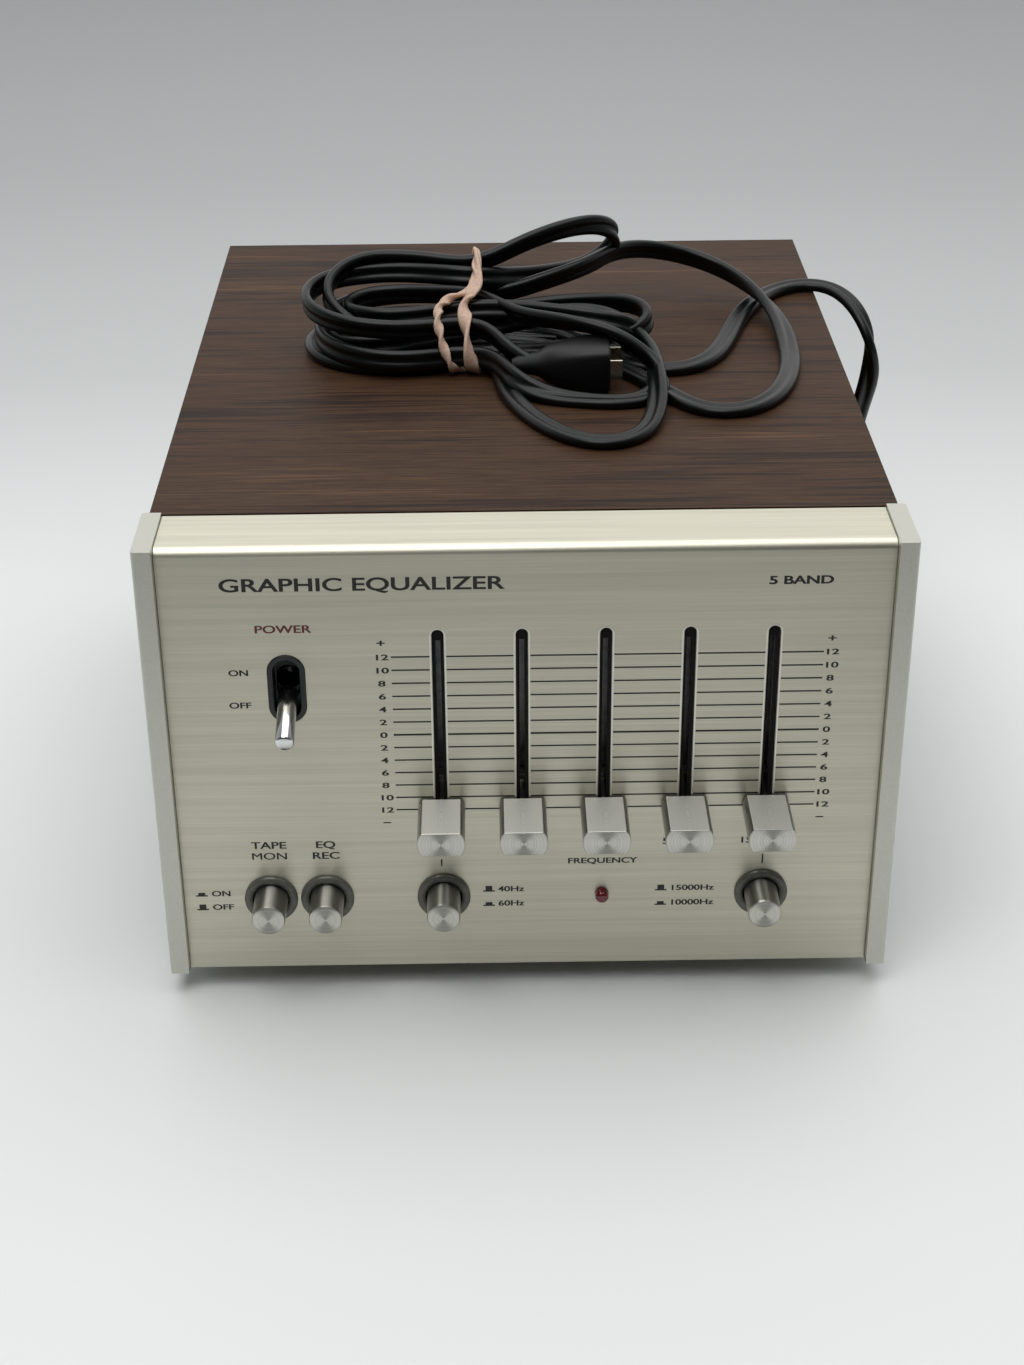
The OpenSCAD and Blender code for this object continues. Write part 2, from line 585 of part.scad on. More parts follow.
front_panel();
left_cheek();
right_cheek();
cabinet_cover();
chassis_tray();
rear_panel();
control_bracket();
power_bezel();
power_switch();
power_lever();
pilot_lens();
pilot_lamp();
push_switches();
slot_screens();
filter_board();
board_components();
transformer_core();
transformer_winding();
smoothing_capacitor();
jack_plate();
jack_shells();
jack_insulators();
ground_terminal();
cord_gland();
rubber_feet();
case_screws();
pot_screws();
mains_cord();
cord_loop_right();
cord_loop_front();
cord_hank();
mains_plug();
rubber_band();
for (i = NUMBERS4) button_bezel(i - 1);
for (i = NUMBERS4) button_cap(i - 1);
for (i = NUMBERS4) button_plunger(i - 1);
for (i = NUMBERS5) slide_pot(i - 1);
for (i = NUMBERS5) slider_stem(i - 1);
for (i = NUMBERS5) slider_knob(i - 1);
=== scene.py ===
"""A five-band graphic equalizer in a walnut-clad case, with its mains lead tied in a hank on top."""

import math

import bmesh
import bpy
import numpy as np
from mathutils import Matrix, Vector


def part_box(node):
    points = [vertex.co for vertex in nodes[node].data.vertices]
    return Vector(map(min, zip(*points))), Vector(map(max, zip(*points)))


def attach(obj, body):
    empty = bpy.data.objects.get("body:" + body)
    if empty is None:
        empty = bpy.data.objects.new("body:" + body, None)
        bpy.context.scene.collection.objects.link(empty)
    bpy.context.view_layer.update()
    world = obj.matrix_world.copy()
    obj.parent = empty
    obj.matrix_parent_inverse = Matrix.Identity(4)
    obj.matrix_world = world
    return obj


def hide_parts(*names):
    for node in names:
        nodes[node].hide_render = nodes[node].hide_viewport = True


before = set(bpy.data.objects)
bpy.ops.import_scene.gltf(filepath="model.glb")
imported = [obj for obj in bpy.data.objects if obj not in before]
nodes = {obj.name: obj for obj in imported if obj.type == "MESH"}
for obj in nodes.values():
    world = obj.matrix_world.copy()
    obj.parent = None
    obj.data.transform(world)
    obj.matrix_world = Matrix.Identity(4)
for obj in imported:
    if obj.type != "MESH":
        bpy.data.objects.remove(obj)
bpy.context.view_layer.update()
MM = 0.001

# ---------------------------------------------------------------- places that the frame gives

cover_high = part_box("cabinet_cover")[1]
plug_low, plug_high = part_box("mains_plug")
face_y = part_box("front_panel")[0].y          # the front panel's face
foot_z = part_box("right_cheek")[0].z          # the cheeks' foot, above the floor
top_z = cover_high.z                         # the cabinet's top, where the hank lies


def middle(node):
    """The middle of a CAD node's box."""
    low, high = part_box(node)
    return (low + high) / 2


# ---------------------------------------------------------------- camera, floor and light

def camera():
    """Stands before the case at about 29 degrees above the level."""
    eye = Vector((-0.0101, -0.66231, 0.4019))
    pitch, yaw, roll = (math.radians(a) for a in (28.98, 0.644, -0.453))
    ahead = Vector((math.sin(yaw) * math.cos(pitch), math.cos(yaw) * math.cos(pitch), -math.sin(pitch)))
    across = Vector((math.cos(yaw), -math.sin(yaw), 0))
    up = across.cross(ahead)
    side = math.cos(roll) * across + math.sin(roll) * up
    over = -math.sin(roll) * across + math.cos(roll) * up
    data = bpy.data.cameras.new("camera")
    data.lens = 59.16
    data.sensor_width = 36
    made = bpy.data.objects.new("camera", data)
    bpy.context.collection.objects.link(made)
    made.matrix_world = Matrix((
        (side.x, over.x, -ahead.x, eye.x),
        (side.y, over.y, -ahead.y, eye.y),
        (side.z, over.z, -ahead.z, eye.z),
        (0, 0, 0, 1)))
    bpy.context.scene.camera = made


# ---------------------------------------------------------------- colours, nodes and materials

def linear(colour, alpha=1.0):
    """The linear colour of an sRGB hex value such as 8A7B6C."""
    parts = [int(colour[i:i + 2], 16) / 255 for i in (0, 2, 4)]
    return (*(c / 12.92 if c <= 0.04045 else ((c + 0.055) / 1.055) ** 2.4 for c in parts), alpha)


def add(tree, kind, sockets=None, **settings):
    """Adds a node with its settings, and gives each socket a value or links it to another's output."""
    made = tree.nodes.new("ShaderNode" + kind)
    for name, value in settings.items():
        setattr(made, name, value)
    for name, value in (sockets or {}).items():
        if isinstance(value, bpy.types.NodeSocket):
            tree.links.new(value, made.inputs[name])
        else:
            made.inputs[name].default_value = value
    return made


def ramp(tree, value, stops):
    """A colour ramp over value, with stops of (place, hex colour)."""
    made = add(tree, "ValToRGB", {"Fac": value})
    while len(made.color_ramp.elements) < len(stops):
        made.color_ramp.elements.new(0.5)
    for element, (place, colour) in zip(made.color_ramp.elements, stops):
        element.position = place
        element.color = linear(colour)
    return made.outputs["Color"]


def scaled(tree, value, low, high):
    """Value from 0 to 1, turned into low to high."""
    return add(tree, "MapRange", {"Value": value, "To Min": low, "To Max": high}).outputs["Result"]


def placed(tree, scale=(1, 1, 1)):
    """The piece's own coordinates in metres, stretched."""
    where = add(tree, "TexCoord").outputs["Object"]
    return add(tree, "Mapping", {"Vector": where, "Scale": scale}, vector_type="TEXTURE").outputs["Vector"]


def material(name, colour="808080", roughness=0.5, metallic=0.0, **sockets):
    """A new material with one Principled shader. Returns the material, its tree and the shader."""
    made = bpy.data.materials.new(name)
    made.use_nodes = True
    tree = made.node_tree
    tree.nodes.clear()
    values = {"Base Color": linear(colour), "Roughness": roughness, "Metallic": metallic}
    values.update({key.replace("_", " "): value for key, value in sockets.items()})
    shader = add(tree, "BsdfPrincipled", values)
    add(tree, "OutputMaterial", {"Surface": shader.outputs["BSDF"]})
    return made, tree, shader


def relief(tree, shader, height, depth):
    """Raises the surface by depth metres where height is 1."""
    bump = add(tree, "Bump", {"Height": height, "Distance": depth, "Strength": 1.0})
    tree.links.new(bump.outputs["Normal"], shader.inputs["Normal"])


def cloud(tree, where, detail=4.0, rough=0.6):
    """Noise from 0 to 1 whose blots are about one unit of where."""
    return add(tree, "TexNoise", {"Vector": where, "Scale": 1.0, "Detail": detail,
                                  "Roughness": rough}).outputs["Fac"]


def coated(name, dark, light, grain, gloss, metallic=0.0, depth=0.0, stretch=(1, 1, 1), **sockets):
    """A surface whose tone and roughness drift over grain millimetres, with a relief of depth millimetres."""
    made, tree, shader = material(name, metallic=metallic, **sockets)
    where = placed(tree, [grain * MM * s for s in stretch])
    blots = cloud(tree, where)
    tree.links.new(ramp(tree, blots, [(0.3, dark), (0.7, light)]), shader.inputs["Base Color"])
    tree.links.new(scaled(tree, blots, *gloss), shader.inputs["Roughness"])
    if depth:
        relief(tree, shader, blots, depth * MM)
    return made


def brushed(name, dark, light, gloss, depth, direction, line=0.12, anisotropic=0.6):
    """Metal brushed along X: fine lines of tone, roughness and relief, with its highlights drawn out
    across them."""
    made, tree, shader = material(name, metallic=1.0, Anisotropic=anisotropic)
    fine = cloud(tree, placed(tree, (60 * MM, line * MM, line * MM)), 3.0)
    broad = cloud(tree, placed(tree, (120 * MM, 1.5 * MM, 1.5 * MM)), 4.0)
    both = add(tree, "Math", {0: fine, 1: broad}, operation="ADD").outputs[0]
    half = add(tree, "Math", {0: both, 1: 0.5}, operation="MULTIPLY").outputs[0]
    tree.links.new(ramp(tree, half, [(0.36, dark), (0.64, light)]), shader.inputs["Base Color"])
    tree.links.new(scaled(tree, half, *gloss), shader.inputs["Roughness"])
    tangent = add(tree, "CombineXYZ", dict(zip("XYZ", direction)))
    tree.links.new(tangent.outputs[0], shader.inputs["Tangent"])
    relief(tree, shader, fine, depth * MM)
    return made


def spun(name, dark, light, gloss, depth, anisotropic=0.85):
    """Turned metal: rings about the piece's own axis, which lies along Y through the zero of its UV map.
    gloss is the roughness of what was turned, and of what was milled level on top.
    Its colour carries painted light: painted highlight fans to the left and right on the front face,
    painted shade above and below on that face, and painted shade on every other face."""
    made, tree, shader = material(name, metallic=1.0, Anisotropic=anisotropic)
    local = add(tree, "UVMap", uv_map="turned").outputs["UV"]
    radius = add(tree, "VectorMath", {0: local}, operation="LENGTH").outputs["Value"]
    depth_y = add(tree, "SeparateXYZ", {0: placed(tree)}).outputs["Y"]
    line = add(tree, "CombineXYZ", {"X": radius, "Y": depth_y}).outputs[0]
    stretched = add(tree, "Mapping", {"Vector": line, "Scale": (0.1 * MM, 0.16 * MM, 1)},
                    vector_type="TEXTURE").outputs[0]
    rings = cloud(tree, stretched, 2.0)
    normal = add(tree, "SeparateXYZ", {0: add(tree, "NewGeometry").outputs["True Normal"]})
    milled = add(tree, "Math", {0: normal.outputs["Z"], 1: 0.96}, operation="GREATER_THAN").outputs[0]
    # Painted highlight: the front face's colour is brightened in two fans, to the left and to the right of
    # the middle, and painted darker above and below the middle.
    bearing = add(tree, "VectorMath", {0: local}, operation="NORMALIZE").outputs["Vector"]
    aside = add(tree, "SeparateXYZ", {0: bearing}).outputs["X"]
    painted_highlight_fan = add(tree, "Math", {0: aside, 1: aside}, operation="MULTIPLY").outputs[0]
    end = add(tree, "Math", {0: normal.outputs["Y"], 1: -0.9}, operation="LESS_THAN").outputs[0]
    tone = add(tree, "MapRange", {"Value": painted_highlight_fan, "From Max": 0.75, "To Min": 0.62, "To Max": 1.12},
               interpolation_type="SMOOTHSTEP").outputs["Result"]
    # Painted shade: every face but the front face has its colour darkened to 0.86.
    share = add(tree, "MapRange", {"Value": end, "To Min": 0.86, "To Max": tone}).outputs["Result"]
    base = ramp(tree, rings, [(0.3, dark), (0.7, light)])
    tree.links.new(add(tree, "VectorMath", {0: base, "Scale": share}, operation="SCALE").outputs[0],
                   shader.inputs["Base Color"])
    rough = add(tree, "MapRange", {"Value": milled, "To Min": gloss[0], "To Max": gloss[1]}).outputs["Result"]
    tree.links.new(rough, shader.inputs["Roughness"])
    parts = add(tree, "SeparateXYZ", {0: local})
    tangent = add(tree, "CombineXYZ", {"X": parts.outputs["X"], "Y": 1.0, "Z": parts.outputs["Y"]})
    tree.links.new(tangent.outputs[0], shader.inputs["Tangent"])
    relief(tree, shader, rings, depth * MM)
    return made


def walnut():
    """Printed walnut vinyl: slow bands, streaks and short dark pores, all along the UV map's u, in metres."""
    made, tree, shader = material("walnut_vinyl", Specular_IOR_Level=0.12)

    def along(length, width):
        """Noise drawn out to length by width millimetres along the grain."""
        uv = add(tree, "UVMap", uv_map="grain").outputs["UV"]
        return cloud(tree, add(tree, "Mapping", {"Vector": uv, "Scale": (length * MM, width * MM, 1)},
                               vector_type="TEXTURE").outputs[0])
    bands, streaks, pores = along(170, 13), along(60, 1.5), along(7, 0.35)
    tone = add(tree, "Math", {0: bands, 1: streaks}, operation="ADD").outputs[0]
    half = add(tree, "Math", {0: tone, 1: 0.5}, operation="MULTIPLY").outputs[0]
    base = ramp(tree, half, [(0.36, "180f0a"), (0.44, "2c1c13"), (0.5, "45301f"), (0.55, "332117"),
                             (0.62, "573e2a")])
    pore = add(tree, "Math", {0: pores, 1: 0.62}, operation="GREATER_THAN").outputs[0]
    dark = scaled(tree, pore, 1.0, 0.62)
    shade = add(tree, "VectorMath", {0: base, "Scale": dark}, operation="SCALE").outputs[0]
    tree.links.new(shade, shader.inputs["Base Color"])
    tree.links.new(scaled(tree, streaks, 0.48, 0.62), shader.inputs["Roughness"])
    relief(tree, shader, pores, 0.02 * MM)
    return made


finish = {
    # Extruded aluminium, brushed from side to side and anodised a pale champagne.
    "panel": brushed("champagne_brushed_aluminium", "bdbaaa", "d0cdbc", (0.32, 0.44), 0.006, (0, 1, 1)),
    # The same aluminium where a cutter has left it bare.
    "bright": coated("bare_cut_aluminium", "cfcdc3", "e2e0d8", 0.5, (0.3, 0.4), 1.0, 0.002),
    # Satin anodised aluminium castings.
    "cheek": coated("satin_silver_aluminium", "babab0", "cacac0", 0.3, (0.38, 0.48), 1.0, 0.004),
    "walnut": walnut(),
    # Zinc-plated mild steel sheet, passivated.
    "zinc": coated("zinc_plated_steel", "a2a39c", "c6c7bf", 7, (0.28, 0.42), 1.0, 0.004),
    # Grey stoved paint over steel.
    "rear": coated("grey_stoved_paint", "7f817d", "8d8f8b", 0.6, (0.45, 0.55), 0.0, 0.02),
    # Black ABS, fine matt.
    "black": coated("black_abs", "111214", "191a1c", 0.4, (0.34, 0.46), 0.0, 0.006),
    # Dark glossy phenolic, as moulded.
    "ring": coated("dark_glossy_phenolic", "4e4e47", "5e5e56", 2, (0.18, 0.26), 0.0, 0.002),
    # Aluminium turned on a lathe, then anodised, with painted highlight fans on the front faces and painted
    # shade on the other faces.
    "cap": spun("turned_silver_aluminium_painted_light", "a3a29a", "d0cfc7", (0.36, 0.45), 0.006),
    "knob": spun("turned_milled_aluminium_painted_light", "9c9b94", "d2d1ca", (0.36, 0.55), 0.006),
    # Bright mild steel strip.
    "stem": coated("bright_steel_strip", "8d8b84", "b1afa7", 0.5, (0.25, 0.35), 1.0, 0.003, (1, 20, 1)),
    # Chromium plate.
    "chrome": coated("bright_chromium_plate", "d2d3d3", "dedfdf", 3, (0.14, 0.2), 1.0, 0.001),
    # Transparent red acrylic, unlit.
    "lens": coated("red_acrylic_lens", "560d18", "7a1622", 1, (0.06, 0.1), 0.0, 0.001, Coat_Weight=0.5),
    "sleeve": coated("cream_lamp_sleeve", "cfc9b8", "dcd7c8", 1, (0.4, 0.5), 0.0, 0.004),
    "screw": coated("zinc_plated_screws", "a9aaa3", "cfd0c9", 1.5, (0.22, 0.34), 1.0, 0.003),
    "pot": coated("tinned_steel_case", "7d7f7e", "a2a4a2", 3, (0.3, 0.42), 1.0, 0.005),
    # Paper phenolic, with its fibres.
    "phenolic": coated("tan_paper_phenolic", "a98f5e", "c6ab74", 0.8, (0.4, 0.55), 0.0, 0.01, (3, 1, 1)),
    "nylon": coated("natural_nylon", "d9d6cb", "e8e5db", 1.5, (0.35, 0.45), 0.0, 0.003,
                    Subsurface_Weight=0.1),
    # Black vulcanised fibre.
    "screen": coated("black_fibre_strip", "0a0a0b", "121213", 0.25, (0.75, 0.9), 0.0, 0.02),
    "board": coated("amber_circuit_board", "8f6a35", "b0884c", 1.2, (0.35, 0.5), 0.0, 0.006, (4, 1, 1)),
    "part": coated("brown_dipped_parts", "47301f", "664731", 2, (0.2, 0.35), 0.0, 0.004),
    # Varnished silicon-steel laminations, stacked from front to back.
    "core": coated("laminated_core_steel", "4a4c4e", "7a7c7e", 0.35, (0.4, 0.55), 1.0, 0.03, (60, 1, 60)),
    # Enamelled copper wire, wound round the bobbin.
    "copper": coated("enamelled_copper_winding", "8a4a22", "c9803f", 0.4, (0.22, 0.34), 1.0, 0.06,
                     (60, 60, 1)),
    "blue": coated("blue_pvc_sleeve", "33506f", "41617f", 3, (0.25, 0.35), 0.0, 0.003),
    "jack_board": coated("brown_phenolic_board", "2c1f17", "413024", 0.7, (0.35, 0.5), 0.0, 0.008, (3, 1, 1)),
    "nickel": coated("bright_nickel_plate", "b9b6ab", "cfccc2", 1.5, (0.14, 0.24), 1.0, 0.002),
    "cream": coated("cream_nylon_insulator", "ddd6c2", "e9e3d2", 1, (0.35, 0.45), 0.0, 0.004),
    "gland": coated("black_moulded_gland", "121315", "1c1d1f", 0.5, (0.4, 0.5), 0.0, 0.008),
    "rubber": coated("black_foot_rubber", "17181a", "222326", 0.5, (0.6, 0.75), 0.0, 0.02),
    # Black flexible PVC, faintly dusty.
    "vinyl": coated("black_pvc_lead", "040505", "090b0b", 4, (0.28, 0.4), 0.0, 0.01, Specular_IOR_Level=0.3),
    "plug": coated("black_moulded_pvc_plug", "040405", "08090a", 1.0, (0.38, 0.5), 0.0, 0.01,
                   Specular_IOR_Level=0.35),
    "brass": coated("nickelled_brass_blades", "a8a494", "c4c0b0", 2, (0.2, 0.32), 1.0, 0.002, (30, 1, 1)),
    # Natural rubber, dusty and a little perished.
    "band": coated("pinkish_natural_rubber", "b58f7c", "cfab97", 0.7, (0.5, 0.68), 0.0, 0.03,
                   Subsurface_Weight=0.15),
    # Screen-printed epoxy inks.
    "ink": coated("near_black_ink", "141412", "20201c", 0.3, (0.45, 0.6)),
    "red_ink": coated("dark_red_ink", "541c1e", "6c2628", 0.3, (0.45, 0.6)),
}


# ---------------------------------------------------------------- pieces

def shaded(made, coat, angle=32):
    """Gives a mesh object its material, outward normals and smooth shading up to angle."""
    mesh = made.data
    work = bmesh.new()
    work.from_mesh(mesh)
    bmesh.ops.recalc_face_normals(work, faces=work.faces)
    work.to_mesh(mesh)
    work.free()
    mesh.materials.clear()
    mesh.materials.append(coat)
    mesh.shade_smooth()
    mesh.set_sharp_from_angle(angle=math.radians(angle))
    return made


def piece(name, points, faces, coat, body="case", angle=32):
    """A new piece that rides on a body."""
    mesh = bpy.data.meshes.new(name)
    mesh.from_pydata([tuple(float(c) for c in p) for p in points], [], faces)
    made = bpy.data.objects.new(name, mesh)
    bpy.context.collection.objects.link(made)
    shaded(made, coat, angle)
    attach(made, body)
    return made


def finished(node, coat, edge=0.0, body="case", angle=32):
    """The CAD node's own shape, joined into one skin, with its edges rounded by edge millimetres."""
    mesh = nodes[node].data.copy()
    mesh.name = node + "_finished"
    work = bmesh.new()
    work.from_mesh(mesh)
    bmesh.ops.remove_doubles(work, verts=work.verts, dist=1e-6)
    bmesh.ops.dissolve_limit(work, angle_limit=math.radians(0.5), verts=work.verts, edges=work.edges)
    work.to_mesh(mesh)
    work.free()
    made = bpy.data.objects.new(node + "_finished", mesh)
    bpy.context.collection.objects.link(made)
    shaded(made, coat, angle)
    if edge:
        bevel = made.modifiers.new("rounded edges", "BEVEL")
        bevel.width = edge * MM
        bevel.segments = 3
        bevel.limit_method = "ANGLE"
        bevel.angle_limit = math.radians(35)
        bevel.harden_normals = True
    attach(made, body)
    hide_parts(node)
    return made


def lay_uv(made, name, place):
    """A UV map in metres whose u and v are place(points, normals) at every corner."""
    mesh = made.data
    loops = len(mesh.loops)
    corner = np.empty(loops, int)
    mesh.loops.foreach_get("vertex_index", corner)
    points = np.empty(len(mesh.vertices) * 3)
    mesh.vertices.foreach_get("co", points)
    points = points.reshape(-1, 3)[corner]
    normals = np.repeat([f.normal for f in mesh.polygons], [f.loop_total for f in mesh.polygons], axis=0)
    layer = mesh.uv_layers.new(name=name)
    layer.data.foreach_set("uv", np.column_stack(place(points, normals)).ravel())
    return made


def turned_uv(made, centre):
    """Lays u and v from the axis along Y through centre."""
    return lay_uv(made, "turned", lambda p, n: (p[:, 0] - centre.x, p[:, 2] - centre.z))


def unrolled(p, n):
    """The grain runs from side to side over the top and down the sides, as one folded sheet."""
    side = np.abs(n[:, 0]) > 0.5
    u = np.where(side, np.sign(p[:, 0]) * (cover_high.x + cover_high.z - p[:, 2]), p[:, 0])
    level = np.abs(n[:, 2]) > 0.5
    return u, np.where(level | side, p[:, 1], p[:, 2] + 0.4)


lay_uv(finished("cabinet_cover", finish["walnut"], 0.5), "grain", unrolled)
finished("front_panel", finish["panel"], 0.22)
for side in ("left", "right"):
    finished(side + "_cheek", finish["cheek"], 0.45)

# Every other node that keeps the CAD shape: its finish, its slot in the record and its edges' rounding.
PLAIN = {
    "chassis_tray": ("zinc", "zinc_steel", 0.15), "rear_panel": ("rear", "rear_paint", 0.2),
    "control_bracket": ("zinc", "zinc_steel", 0.15), "power_bezel": ("black", "black_plastic", 0.3),
    "power_switch": ("black", "black_plastic", 0.3), "pilot_lamp": ("sleeve", "lamp_sleeve", 0.2),
    "push_switches": ("phenolic", "phenolic_tan", 0.3), "slot_screens": ("screen", "screen_black", 0.0),
    "filter_board": ("board", "board_phenolic", 0.1), "board_components": ("part", "component_brown", 0.5),
    "transformer_core": ("core", "core_iron", 0.2), "transformer_winding": ("copper", "winding_copper", 1.5),
    "smoothing_capacitor": ("blue", "capacitor_sleeve", 0.8), "jack_plate": ("jack_board", "jack_board", 0.2),
    "jack_shells": ("nickel", "jack_nickel", 0.15), "jack_insulators": ("cream", "insulator_cream", 0.15),
    "ground_terminal": ("nickel", "jack_nickel", 0.3), "cord_gland": ("gland", "gland_black", 0.4),
    "rubber_feet": ("rubber", "foot_rubber", 0.4), "case_screws": ("screw", "screw_zinc", 0.2),
    "pot_screws": ("screw", "screw_zinc", 0.15)}
for node, (coat, slot, edge) in PLAIN.items():
    finished(node, finish[coat], edge)
for i in range(1, 5):
    turned_uv(finished(f"button_cap_{i}", finish["cap"], 0.3, f"button_{i}"),
              middle(f"button_cap_{i}"))
    finished(f"button_bezel_{i}", finish["ring"], 0.15)
    finished(f"button_plunger_{i}", finish["nylon"], 0.2, f"button_{i}")
for i in range(1, 6):
    turned_uv(finished(f"slider_knob_{i}", finish["knob"], 0.35, f"slider_{i}"),
              middle(f"slider_knob_{i}"))
    finished(f"slider_stem_{i}", finish["stem"], 0.1, f"slider_{i}")
    finished(f"slide_pot_{i}", finish["pot"], 0.3)
finished("pilot_lens", finish["lens"], 0.1)
finished("power_lever", finish["chrome"], 0.0, "power_handle")


# ---------------------------------------------------------------- mains lead

CORE = 1.65 * MM                             # radius of one of the lead's two cores
STEP = 4 * MM
WATCH = 7 * MM                               # cores nearer than this are watched for touching
HOMING = 0.12                                # how strongly a held point is drawn back
SINK = 0.03 * MM                             # how far a free point sinks in each round
band_x = -12 * MM                            # the rubber band's place, and how far the hank reaches in it
band_y = (1.5 * MM, 46 * MM)

# The uncoiled stretches, as the CAD has them: up from the gland, the right loop and the front loop.
tail = np.array([
    (72, 146.2, 38), (72, 154, 37), (74, 165, 29), (79, 174, 16), (87, 178.5, 5.2), (97, 176, 1.8),
    (107, 165.5, 1.8), (114.5, 149, 1.8), (118, 132, 3.2), (119, 118, 12), (119, 107, 28),
    (119, 97, 48), (119, 87, 68), (119.5, 77, 88), (120.5, 68, 106), (121.5, 60, 119),
    (121.2, 56.5, 130), (119, 60.5, 139), (114.5, 69, 144.6), (108.5, 77, 146.8),
    (101, 80.5, 146.4), (92.5, 78, 146.2), (85, 70, 146.2), (77.5, 57, 146.2), (71.5, 39, 146.2),
    (66.5, 22, 146.2), (61.5, 10, 146.2), (54.5, 2, 146.2), (46, 0, 146.2), (38.5, 3.5, 146.2),
    (34, 10, 146.2)]) * MM
loop_right = np.array([
    (22, 50, 163.5), (34, 68, 163.5), (49, 78, 160.5), (67, 76, 156), (80, 62, 151.8),
    (86.5, 40, 149), (87, 12, 146.5), (83, -10, 146.2), (77, -24, 146.2), (69.5, -32.5, 146.2),
    (60.5, -35, 146.2), (52, -29.5, 146.2), (45, -18, 146.2), (38, -6, 146.2), (30.5, 4.5, 146.2)]) * MM
loop_front = np.array([
    (-6.5, 6, 147.5), (-6.2, -5, 146.6), (-3.5, -18, 146.2), (2, -33, 146.2), (8.5, -45.5, 146.2),
    (16.5, -54.5, 146.2), (25, -58, 146.2), (33, -54.5, 146.2), (38.5, -45, 146.8),
    (41.5, -32, 148.6), (42.5, -17, 151), (42, -2, 152.5), (38, 12, 154)]) * MM


def fold(start, end, reach, shift=(0, 0), bow=(0, 0)):
    """Fourteen points round a fold, from one (y, z) at the band to another, reach millimetres along X.
    shift moves its tip in (y, z), and bow its way out, with its way back moved as far the other way."""
    turn = np.linspace(0, math.pi, 14)
    mix = (1 - np.cos(turn)) / 2
    out, twice = np.sin(turn), np.sin(2 * turn)
    return np.column_stack([
        -12 + reach * out,
        start[0] + (end[0] - start[0]) * mix + shift[0] * out + bow[0] * twice,
        start[1] + (end[1] - start[1]) * mix + shift[1] * out + bow[1] * twice]) * MM


# Where the fourteen passes cross under the band, as (y, z): back low, front low, and so on upwards.
passes = [(44, 148), (9, 148), (20, 156), (37, 154.5), (17, 148.5), (34, 149), (22, 162), (30, 163),
          (4, 153), (44, 158), (28, 148.5), (44, 168), (38, 165), (12, 158.5)]
front_fold = np.array([
    (0, 14, 161), (12, 4, 163), (24, -3, 161.5), (36, -6, 156.5), (44, -10, 151), (45.5, -17, 148),
    (40, -23.5, 147), (30, -26, 147), (18, -23.5, 147), (6, -20.5, 148), (-2, -14, 151),
    (-8, -4, 152.5)]) * MM
to_plug = np.array([(-7, 5, 156.5), (-3.5, -1.5, 154.5), (0, -6, 153), (4, -8, 152)]) * MM
stretches = [
    (tail, 1.0), (np.array([(24, 22, 147), (8, 36, 147.5)]) * MM, 0.1),
    (fold(passes[0], passes[1], -54, (0, 0), (8, 0)), 0.1), (loop_front, 0.5),
    (np.array([(28, 24, 158.5), (12, 25, 158.5)]) * MM, 0.1),
    (fold(passes[2], passes[3], -49, (-2, -4), (-9, 0)), 0.1),
    (fold(passes[3], passes[4], 56, (-9, 8), (4, 1)), 0.1),
    (fold(passes[4], passes[5], -45, (2, 0), (-7, 0)), 0.1),
    (fold(passes[5], passes[6], 53, (-13, -2), (4, -3)), 0.1),
    (fold(passes[6], passes[7], -44, (4, -3), (-8, 0)), 0.1), (front_fold, 0.2),
    (fold(passes[8], passes[9], -52, (2, -1), (-9, 0)), 0.1),
    (np.array([(4, 44, 161)]) * MM, 0.1), (loop_right, 0.5),
    (np.array([(20, 15, 147.5), (8, 24, 148)]) * MM, 0.1),
    (fold(passes[10], passes[11], -50, (-3, 6), (-9, 0)), 0.1),
    (fold(passes[11], passes[12], 47, (26, 2), (-7, 8)), 0.4),
    (fold(passes[12], passes[13], -56, (3, 1), (10, 0)), 0.2), (to_plug, 1.0)]


def smoothed(points, pull):
    """Points every STEP along a smooth curve through the given ones, and each one's pull."""
    keep = np.r_[True, np.linalg.norm(np.diff(points, axis=0), axis=1) > 2.5 * MM]
    points, pull = points[keep], pull[keep]
    ends = np.vstack([2 * points[0] - points[1], points, 2 * points[-1] - points[-2]])
    fine, weight = [], []
    for i in range(len(points) - 1):
        a, b, c, d = ends[i:i + 4]
        t = np.linspace(0, 1, 12, endpoint=False)[:, None]
        fine.append(0.5 * (2 * b + (c - a) * t + (2 * a - 5 * b + 4 * c - d) * t ** 2
                           + (3 * b - a - 3 * c + d) * t ** 3))
        weight.append(pull[i] + (pull[i + 1] - pull[i]) * t[:, 0])
    fine, weight = np.vstack(fine + [points[-1:]]), np.append(np.concatenate(weight), pull[-1])
    run = np.r_[0, np.cumsum(np.linalg.norm(np.diff(fine, axis=0), axis=1))]
    at = np.linspace(0, run[-1], round(run[-1] / STEP) + 1)
    return np.column_stack([np.interp(at, run, fine[:, k]) for k in range(3)]), np.interp(at, run, weight)


def unit(v):
    """Each row at length 1."""
    return v / np.maximum(np.linalg.norm(v, axis=-1, keepdims=True), 1e-9)


def cores(line):
    """The two cores on either side of a centreline: level where it lies flat, upright in the hank."""
    ahead = unit(np.gradient(line, axis=0))
    lie = np.clip((line[:, 2] - (top_z + 2.2 * MM)) / (6 * MM), 0, 1)[:, None]
    lie = np.where((line[:, 0] > 0.09)[:, None], 0, lie)
    level = unit(np.cross(ahead, (0, 0, 1)))
    for i in range(1, len(level)):
        if level[i] @ level[i - 1] < 0:
            level[i] *= -1
    upright = unit(np.cross(level, ahead))
    wide = (1 - lie) * level + lie * (0.9 * upright + 0.35 * level)
    for _ in range(6):
        wide[1:-1] = (wide[:-2] + wide[1:-1] + wide[2:]) / 3
    wide = unit(wide - (wide * ahead).sum(1, keepdims=True) * ahead)
    return np.stack([line - CORE * wide, line + CORE * wide], 1)


